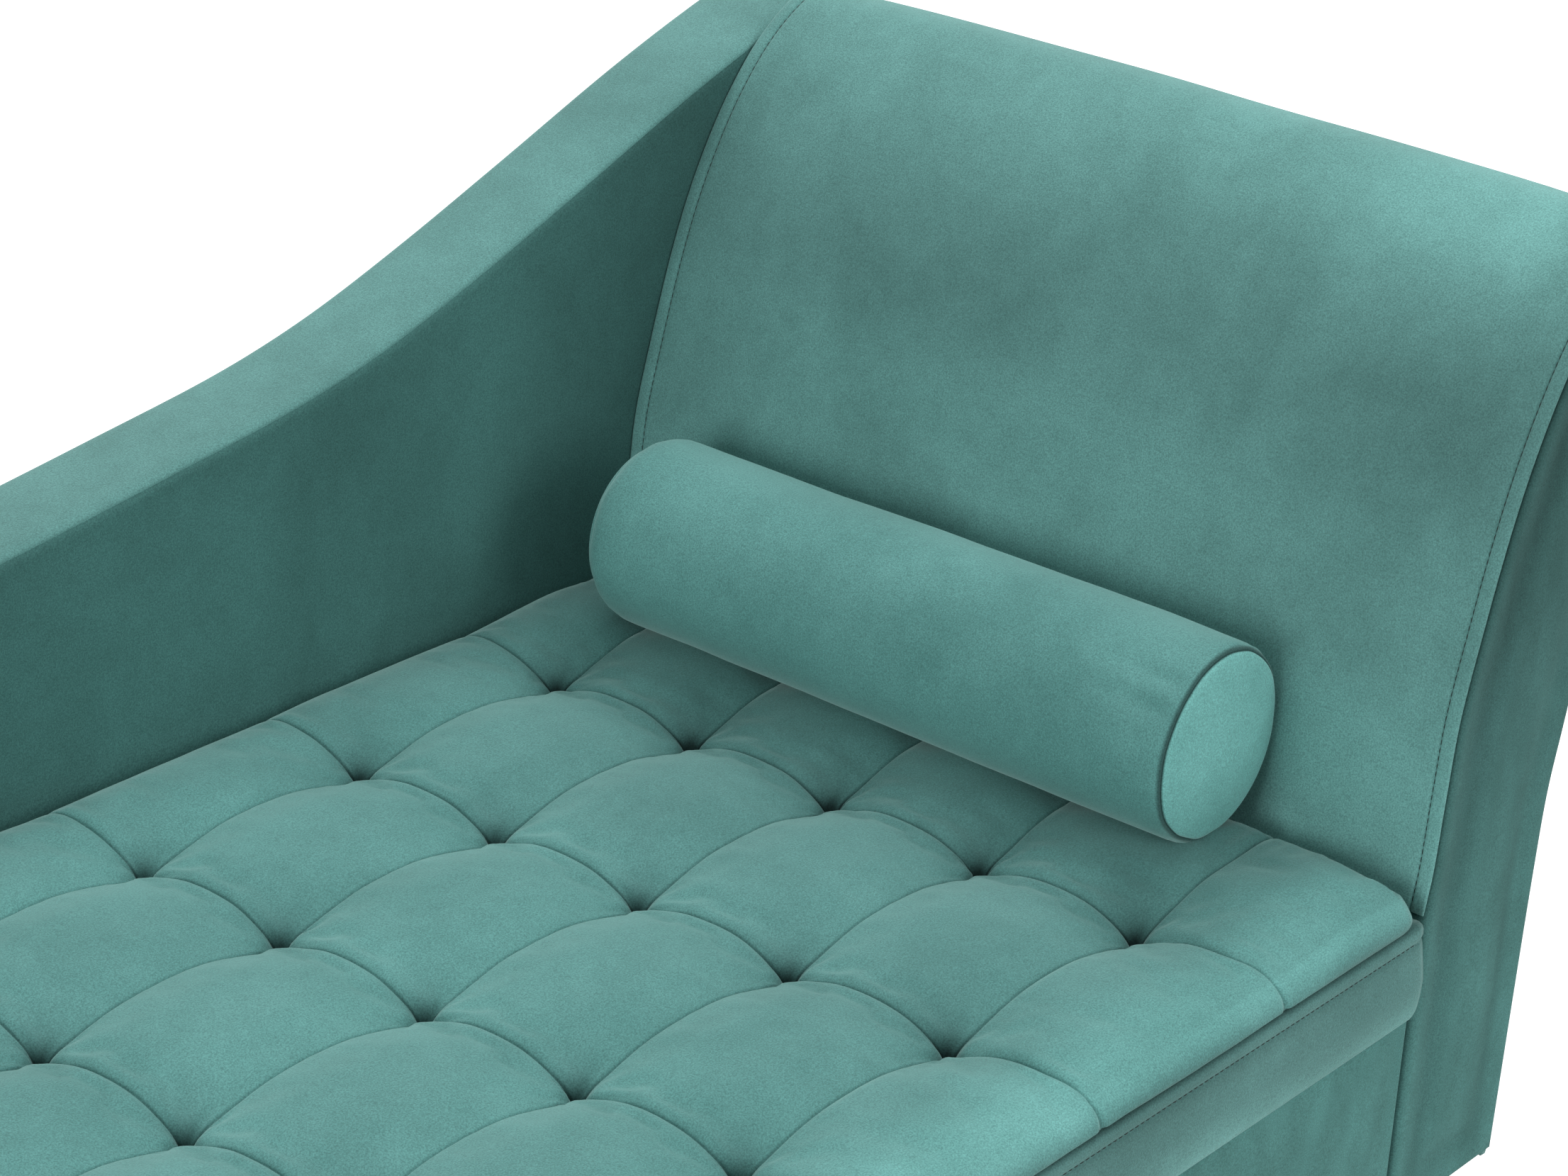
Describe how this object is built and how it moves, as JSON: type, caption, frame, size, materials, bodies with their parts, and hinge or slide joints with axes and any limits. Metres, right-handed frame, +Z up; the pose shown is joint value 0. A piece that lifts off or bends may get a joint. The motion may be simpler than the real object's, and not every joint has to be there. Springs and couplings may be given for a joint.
{
  "type": "fainting couch",
  "caption": "Storage fainting couch: tufted velvet seat that lifts as a lid, rolled backrest at one end, one sweeping side arm, loose bolster and tapered legs.",
  "frame": {"origin": "centre of the couch's outline on the floor", "axes": "+X from the foot end to the backrest, +Y from the open side to the arm, +Z up"},
  "size_m": [1.6439, 0.668, 0.7474],
  "materials": {
    "upholstery_velvet": "short-pile velvet",
    "seat_velvet": "short-pile velvet, tufted",
    "bolster_velvet": "short-pile velvet",
    "softwood": "planed",
    "plywood": "sanded",
    "leg_wood": "dark stain, satin lacquer",
    "plate_steel": "zinc plated",
    "hinge_steel": "zinc plated",
    "strut_black": "black enamel",
    "rod_chrome": "polished",
    "bumper_rubber": "matt",
    "glide_plastic": "moulded"
  },
  "bodies": {
    "frame": {"arm_frame": "plywood", "arm_inner_pad": "upholstery_velvet", "arm_outer_pad": "upholstery_velvet", "arm_top_pad": "upholstery_velvet", "back_rail_foot": "softwood", "back_rail_middle": "softwood", "back_rail_top": "softwood", "backrest_front_pad": "upholstery_velvet", "backrest_rear_pad": "upholstery_velvet", "backrest_rib_arm": "plywood", "backrest_rib_open": "plywood", "backrest_side_panel": "upholstery_velvet", "box_floor": "plywood", "box_panel_foot": "upholstery_velvet", "box_panel_open": "upholstery_velvet", "box_rail_arm": "softwood", "corner_block_arm": "softwood", "corner_block_open": "softwood", "hinge_fixed_leaf_arm": "hinge_steel", "hinge_fixed_leaf_open": "hinge_steel", "hinge_pin_arm": "hinge_steel", "hinge_pin_open": "hinge_steel", "hinge_rail": "softwood", "leg_foot_arm": "leg_wood", "leg_foot_open": "leg_wood", "leg_glide_foot_arm": "glide_plastic", "leg_glide_foot_open": "glide_plastic", "leg_glide_rear_arm": "glide_plastic", "leg_glide_rear_open": "glide_plastic", "leg_plate_foot_arm": "plate_steel", "leg_plate_foot_open": "plate_steel", "leg_plate_rear_arm": "plate_steel", "leg_plate_rear_open": "plate_steel", "leg_rear_arm": "leg_wood", "leg_rear_open": "leg_wood", "lid_bumper_arm": "bumper_rubber", "lid_bumper_open": "bumper_rubber", "strut_box_bracket_arm": "strut_black", "strut_box_bracket_open": "strut_black"},
    "lid": {"hinge_moving_leaf_arm": "hinge_steel", "hinge_moving_leaf_open": "hinge_steel", "lid_band": "upholstery_velvet", "lid_board": "plywood", "lid_rail_arm": "softwood", "lid_rail_foot": "softwood", "lid_rail_hinge": "softwood", "lid_rail_middle": "softwood", "lid_rail_open": "softwood", "seat_cushion": "seat_velvet", "strut_lid_bracket_arm": "strut_black", "strut_lid_bracket_open": "strut_black"},
    "bolster": {"bolster": "bolster_velvet"},
    "strut_cylinder_open": {"strut_cylinder_open": "strut_black"},
    "strut_rod_open": {"strut_rod_open": "rod_chrome"},
    "strut_cylinder_arm": {"strut_cylinder_arm": "strut_black"},
    "strut_rod_arm": {"strut_rod_arm": "rod_chrome"}
  },
  "joints": [
    {"name": "lid_hinge", "type": "hinge", "parent": "frame", "child": "lid", "pos_m": [0.579, 0, 0.39], "axis": [0, 1, 0], "range_deg": [0, 36]},
    {"name": "bolster_ride", "type": "slide", "parent": "frame", "child": "bolster", "axis": [0.0847, 0, 0.9964], "range_m": [0, 0.0467]},
    {"name": "strut_pivot_open", "type": "hinge", "parent": "frame", "child": "strut_cylinder_open", "pos_m": [0.533, 0, 0.238], "axis": [0, 1, 0], "range_deg": [0, 24.57]},
    {"name": "strut_extend_open", "type": "slide", "parent": "strut_cylinder_open", "child": "strut_rod_open", "axis": [-0.8187, 0, 0.5742], "range_m": [0, 0.0878]},
    {"name": "strut_pivot_arm", "type": "hinge", "parent": "frame", "child": "strut_cylinder_arm", "pos_m": [0.533, 0, 0.238], "axis": [0, 1, 0], "range_deg": [0, 24.57]},
    {"name": "strut_extend_arm", "type": "slide", "parent": "strut_cylinder_arm", "child": "strut_rod_arm", "axis": [-0.8187, 0, 0.5742], "range_m": [0, 0.0878]}
  ],
  "couplings": [
    {"joint": "bolster_ride", "follows": "lid_hinge", "m_per_rad": 0.0728},
    {"joint": "strut_pivot_open", "follows": "lid_hinge", "ratio": 0.6685},
    {"joint": "strut_extend_open", "follows": "lid_hinge", "m_per_rad": 0.13889},
    {"joint": "strut_pivot_arm", "follows": "lid_hinge", "ratio": 0.6685},
    {"joint": "strut_extend_arm", "follows": "lid_hinge", "m_per_rad": 0.13889}
  ]
}
